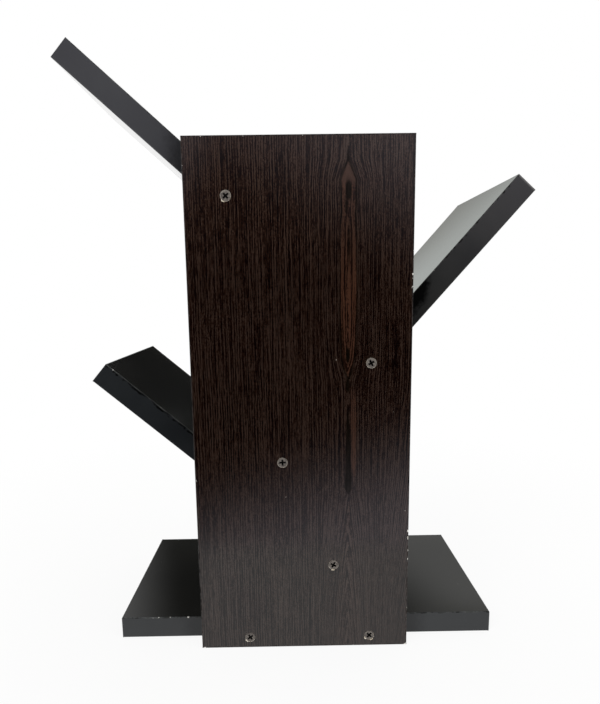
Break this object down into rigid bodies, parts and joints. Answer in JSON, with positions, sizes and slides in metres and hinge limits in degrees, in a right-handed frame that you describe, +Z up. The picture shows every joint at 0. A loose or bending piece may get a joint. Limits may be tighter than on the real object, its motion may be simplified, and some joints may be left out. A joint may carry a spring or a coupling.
{
  "type": "bookcase",
  "caption": "Table-top zigzag bookcase: dark wenge-look upright trunk panel with a level base and sloping black shelf boards branching to either side.",
  "frame": {"origin": "on the table, under the middle of the base board's underside", "axes": "+X to the right as seen from the trunk's screwed rear face, +Y from that rear face to the shelves' open front, +Z up"},
  "size_m": [0.3646, 0.183, 0.4817],
  "materials": {
    "wenge_laminate": "satin wenge-look laminate on chipboard",
    "black_laminate": "satin black laminate on chipboard",
    "wenge_edge_band": "dark brown plastic edge band",
    "black_edge_band": "matt charcoal plastic edge band",
    "zinc_screw": "zinc-plated steel"
  },
  "bodies": {
    "root": {"trunk_panel": "wenge_laminate", "base_board": "black_laminate", "lower_left_shelf": "black_laminate", "right_shelf": "black_laminate", "upper_left_shelf": "black_laminate", "trunk_band_top": "wenge_edge_band", "trunk_band_bottom": "wenge_edge_band", "trunk_band_left": "wenge_edge_band", "trunk_band_right": "wenge_edge_band", "base_band_front": "black_edge_band", "base_band_rear": "black_edge_band", "base_band_outer": "black_edge_band", "base_band_inner": "black_edge_band", "lower_left_band_front": "black_edge_band", "lower_left_band_rear": "black_edge_band", "lower_left_band_outer": "black_edge_band", "lower_left_band_inner": "black_edge_band", "right_band_front": "black_edge_band", "right_band_rear": "black_edge_band", "right_band_outer": "black_edge_band", "upper_left_band_front": "black_edge_band", "upper_left_band_rear": "black_edge_band", "upper_left_band_outer": "black_edge_band", "base_screws": "zinc_screw", "left_shelf_screws": "zinc_screw", "right_shelf_screws": "zinc_screw", "right_seat_screws": "zinc_screw", "upper_left_seat_screws": "zinc_screw"}
  },
  "joints": []
}
